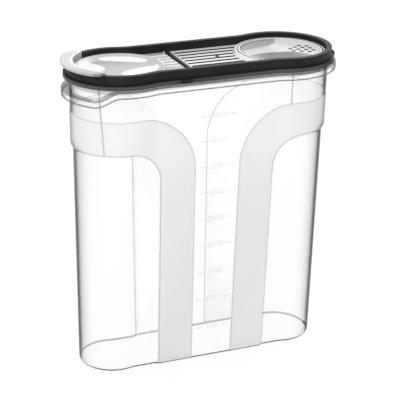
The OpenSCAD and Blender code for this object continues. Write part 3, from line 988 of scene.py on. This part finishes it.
def dial_plastic():
    material, tree, shader, colour = pale_plastic("dial_plastic", 0.72, 0.73, 0.9)
    cad_x, y, z = place_mm(tree)
    x = cad_x - END_X
    across, along = across_and_along(x, y, z)
    under_rim = fade(z, *BOWL_RIM)
    near = fade(along + across * across * NEAR_BEND, *NEAR_EDGE) * under_rim
    near_shade_ends = ease(abs(across - 2.0), 10.0, 36.0)
    side = ease(x, BOWL_SIDE[0], BOWL_SIDE[0] + 0.5) * fade(x, BOWL_SIDE[1] - 0.5, BOWL_SIDE[1])
    holes = upright_share(tree) * ease(x, HOLE_X, HOLE_X + 0.5) * fade(z, HOLE_TOP, HOLE_TOP + 0.2)
    near_shade_tone = mix(side, tint(0.07, 0.073), tint(0.2, 0.203))
    # painted shades on the near side, the far wall and in the sieve holes, a painted highlight on the rim
    # and a painted shadow in the gap
    for share, tone in [
            (near * (1.0 - near_shade_ends * 0.45), near_shade_tone),
            (far_shade(across, along) * under_rim, tint(0.34, 0.35)),
            (holes * (1.0 - near), tint(0.1, 0.1)),
            (ease(z, FACE_Z - 0.5, FACE_Z - 0.1), tint(0.84, 0.85)),
            (ease(distance(x, y), DIAL_R, DIAL_R + 0.3), tint(0.03, 0.03))]:
        colour = mix(share, colour, tone)
    feed(shader.inputs["Base Color"], colour)
    return material


dial_finish = dial_plastic()
print("made", dial_finish.name)

# %% [markdown]
# ## The flap
# The dish of the flap shows three pale lobes, soft ovals where light gathers on the real one, so here
# they are painted highlights. Its thumb tab stands highest and is darkest at its front tip. The hinge
# eyes at the inner end lie in the shade of the channel and are painted nearly black, a painted shade.
# Each shade is mixed over the ones before it, in the order of a short list.

# %% Soft ovals
OVAL_POWER = 2.4                    # 2 would give a true ellipse, more gives fuller corners
HIGHLIGHT_LOBES = [((15, 30), 27, 7.5, -28), ((-22, 18), 17, 9, -66), ((20, -10), 23, 8, 15)]


def patch(x, y, middle, half_length, half_width, angle):
    """1 inside a soft oval patch on a level surface."""
    u, v = x - middle[0], y - middle[1]
    turned_x, turned_y = cos(radians(angle)), sin(radians(angle))
    p = (u * turned_x + v * turned_y) / half_length
    q = (v * turned_x - u * turned_y) / half_width
    return fade(abs(p) ** OVAL_POWER + abs(q) ** OVAL_POWER, 0.82, 1.12)


def lobe_share(x, y):
    """1 inside any of the three painted highlights."""
    first, second, third = [patch(x, y, *lobe) for lobe in HIGHLIGHT_LOBES]
    return largest(largest(first, second), third)


print("lobes in the dish:", len(HIGHLIGHT_LOBES))

# %% The finish of the flap
RIB_X, EYE_X = -41.5, -23.2         # inner ends of the ribs and of the eyes
DISH_TOP, TAB_FROM = 305.0, 310.0
TAB_OUT, TAB_MIDDLE, TAB_IN = 54.6, 50.5, 44.6      # radii of the lines on the thumb tab


def tab_tone(y, reach):
    """The thumb tab: paler toward the back, darker at the tip, with lines along its ledges."""
    tone = mix(ease(y, -34.0, -4.0), tint(0.42, 0.43), tint(0.6, 0.61))
    ledges = largest(line_at(reach - TAB_OUT, 0.7), line_at(reach - TAB_MIDDLE, 0.35))
    tone = mix(ledges * 0.55, tone, tint(0.3, 0.31))
    tone = mix(line_at(reach - TAB_IN, 0.8), tone, tint(0.85, 0.85))
    return mix(fade(y, -40.5, -36.0) * 0.8, tone, tint(0.14, 0.145))


def flap_plastic():
    material, tree, shader, colour = pale_plastic("flap_plastic", 0.50, 0.51, 0.95)
    cad_x, y, z = place_mm(tree)
    x = cad_x + END_X
    reach = distance(x, y)
    ribs = ease(z, DECK_Z + 0.1, DECK_Z + 0.25) * ease(cad_x, RIB_X, RIB_X + 0.5)
    lip = upright_share(tree) * ease(z, FACE_Z, FACE_Z + 0.5) * fade(reach, TAB_IN, TAB_IN + 0.4)
    # painted highlights in the dish, and a painted shade of the channel on the hinge eyes
    for share, tone in [
            (lobe_share(x, y) * fade(z, DISH_TOP, DISH_TOP + 1), tint(0.9, 0.9)),
            (ribs, tint(0.86, 0.86)),
            (ease(z, TAB_FROM, TAB_FROM + 2), tab_tone(y, reach)),
            (lip, tint(0.3, 0.31)),
            (ease(cad_x, EYE_X, EYE_X + 0.4), SHADE_BLACK)]:
        colour = mix(share, colour, tone)
    feed(shader.inputs["Base Color"], colour)
    return material


flap_finish = flap_plastic()
print("made", flap_finish.name)

# %% [markdown]
# ## The seals
# Both seals are soft grey rubber, matt and a little uneven. Noise in the tone and in the roughness is
# enough for parts that are mostly hidden.

# %% The finish of the seals
def soft_seal():
    material, tree, shader = start_finish("soft_seal")
    rubber = mix(grain(tree, 120.0), (0.42, 0.43, 0.44, 1), (0.55, 0.56, 0.57, 1))
    feed(shader.inputs["Base Color"], rubber)
    feed(shader.inputs["Roughness"], grain(tree, 700.0) * 0.2 + 0.5)
    return material


seal_finish = soft_seal()
print("made", seal_finish.name)

# %% [markdown]
# ## The lid frame
# The CAD's lid frame has the right shape but sharp edges, and a real moulding never has those. It
# could be modelled anew, but it is enough to take a copy of its mesh. That mesh is loose triangles,
# so the copy is merged and its flat faces are joined. Then a bevel rounds the edges at the three
# levels that catch the light.

# %% A copy of the lid frame with rounded edges
EDGE_ROUND = 0.5
FLAT_ANGLE, CRISP_ANGLE = 0.6, 50   # faces closer than the first are joined, edges over the second are crisp
ROUNDED_LEVELS = (TOP_Z, SKIRT_Z, SKIRT_LOW)


def at_level(edge, level):
    return all(abs(v.co.z - level * MM) < 0.02 * MM for v in edge.verts)


bm = bmesh.new()
bm.from_mesh(frame["nodes"]["lid_frame"].data)
bmesh.ops.remove_doubles(bm, verts=bm.verts, dist=1e-7)
bmesh.ops.dissolve_limit(bm, angle_limit=radians(FLAT_ANGLE), verts=bm.verts, edges=bm.edges)
crisp = [e for e in bm.edges if e.is_manifold and e.calc_face_angle() > radians(CRISP_ANGLE)]
rounded = [e for e in crisp if any(at_level(e, z) for z in ROUNDED_LEVELS)]
bmesh.ops.bevel(bm, geom=rounded, offset=EDGE_ROUND * MM, affect="EDGES", segments=2, profile=0.5,
                material=-1, clamp_overlap=True)
print("rounded edges:", len(rounded), "open edges:", sum(not e.is_manifold for e in bm.edges))
black_lid = made_piece("black_lid", bm, "lid")
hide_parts("lid_frame")
black_lid.data.materials.append(black_finish)

# %% [markdown]
# ## Finishes on the CAD's own pieces
# The other seven nodes have the shape of the real pieces already. They keep their meshes and only
# take a finish, each from the same small table.

# %% Finishes on the other nodes
finishes = {
    "deck_peg": black_finish, "hinge_pin": black_finish, "deck_plate": deck_finish,
    "dosing_dial": dial_finish, "flap": flap_finish, "lid_seal": seal_finish, "flap_seal": seal_finish}
for name, finish in finishes.items():
    node = frame["nodes"][name]
    node.data.materials.clear()
    node.data.materials.append(finish)
print("materials:", [m.name for m in bpy.data.materials])

# %% [markdown]
# ## The camera
# The camera stands where the photograph was taken from, a metre and a half away and about twenty-two
# degrees up. A long lens keeps the tall sides nearly upright. The axis of the lens doesn't meet the
# picture in its middle, which the two shifts of the camera make good.

# %% Camera
EYE = Vector((-0.4953, -1.1585, 0.6730))
BACK = Vector((-0.3195, -0.8685, 0.3788)).normalized()      # from the object back to the camera
PHOTO_PX = 400                      # side of the square picture
FOCAL_PX = 1358.88                  # distance of the lens, in pixels of the picture
MIDDLE_PX = (133.3, 201.7)          # where the axis of the lens meets the picture
SENSOR = 36

camera = bpy.data.objects.new("camera", bpy.data.cameras.new("camera"))
camera.data.sensor_width = SENSOR
camera.data.lens = FOCAL_PX * SENSOR / PHOTO_PX
camera.data.shift_x = (PHOTO_PX / 2 - MIDDLE_PX[0]) / PHOTO_PX
camera.data.shift_y = (MIDDLE_PX[1] - PHOTO_PX / 2) / PHOTO_PX
camera.data.clip_start = 0.05
camera.data.clip_end = 50
camera.location = EYE
camera.rotation_mode = "QUATERNION"
camera.rotation_quaternion = (-BACK).to_track_quat("-Z", "Y")
scene.collection.objects.link(camera)
scene.camera = camera
print("lens in mm:", round(camera.data.lens, 2))

# %% [markdown]
# ## Soft light and a white backdrop
# The world lights the object evenly from all sides. Seen by the camera, in gloss or through clear
# plastic, it is plain white. A key lamp from the upper left and a weaker lamp from behind give the
# shapes a little direction.

# %% World
def white_share(tree):
    """1 for what the camera sees, also in gloss and through clear plastic."""
    path = tree.nodes.new("ShaderNodeLightPath")
    camera_ray = NodeValue(tree, path.outputs["Is Camera Ray"])
    glossy_ray = NodeValue(tree, path.outputs["Is Glossy Ray"])
    transmission_ray = NodeValue(tree, path.outputs["Is Transmission Ray"])
    return largest(largest(camera_ray, glossy_ray), transmission_ray)


WORLD_LIGHT = 0.95                  # strength of the light on the object; the backdrop shows at 1
world = bpy.data.worlds.new("studio")
scene.world = world
world.use_nodes = True
ground = world.node_tree.nodes["Background"]
ground.inputs["Color"].default_value = (1, 1, 1, 1)
feed(ground.inputs["Strength"], white_share(world.node_tree) * (1 - WORLD_LIGHT) + WORLD_LIGHT)
print("world light:", WORLD_LIGHT)

# %% Lamps
def lamp(name, place, aim, size, power):
    """A square lamp of a given size in metres and power in watts, turned toward a point."""
    light = bpy.data.lights.new(name, "AREA")
    light.size = size
    light.energy = power
    thing = bpy.data.objects.new(name, light)
    thing.location = place
    thing.rotation_mode = "QUATERNION"
    thing.rotation_quaternion = (Vector(aim) - Vector(place)).to_track_quat("-Z", "Y")
    scene.collection.objects.link(thing)


lamp("key_lamp", (-1.1, -1.3, 1.6), (0, 0, 0.2), 1.0, 16)
lamp("back_lamp", (0.9, 1.2, 1.4), (0, 0, 0.25), 0.9, 8)

# %% [markdown]
# ## The floor
# The floor is one wide pale face a hair under the object. Most of what the camera sees of it is a
# plain white glow, and the small rest is lit by the lamps, so a faint shadow stays.

# %% Floor
FLOOR_SIZE, FLOOR_GAP = 12, 0.0004
FLOOR_GLOW = 0.93                   # share of the floor's look that is plain white

bm = bmesh.new()
bmesh.ops.create_grid(bm, x_segments=1, y_segments=1, size=FLOOR_SIZE)
mesh = bpy.data.meshes.new("floor")
bm.to_mesh(mesh)
bm.free()
floor = bpy.data.objects.new("floor", mesh)
floor.location = (0, 0, -FLOOR_GAP)
scene.collection.objects.link(floor)
material, tree, shader = start_finish("floor")
shader.inputs["Base Color"].default_value = tint(0.9, 0.9)
shader.inputs["Roughness"].default_value = 1.0
shader.inputs["Specular IOR Level"].default_value = 0.0
glow = tree.nodes.new("ShaderNodeEmission")
glow.inputs["Color"].default_value = (1, 1, 1, 1)
both = tree.nodes.new("ShaderNodeMixShader")
feed(both.inputs[0], white_share(tree) * FLOOR_GLOW)
tree.links.new(shader.outputs[0], both.inputs[1])
tree.links.new(glow.outputs[0], both.inputs[2])
tree.links.new(both.outputs[0], tree.nodes["Material Output"].inputs[0])
mesh.materials.append(material)
scene.cycles.transparent_max_bounces = 32       # a line of sight may cross many clear layers
print("floor lies this far under the object, in m:", FLOOR_GAP)
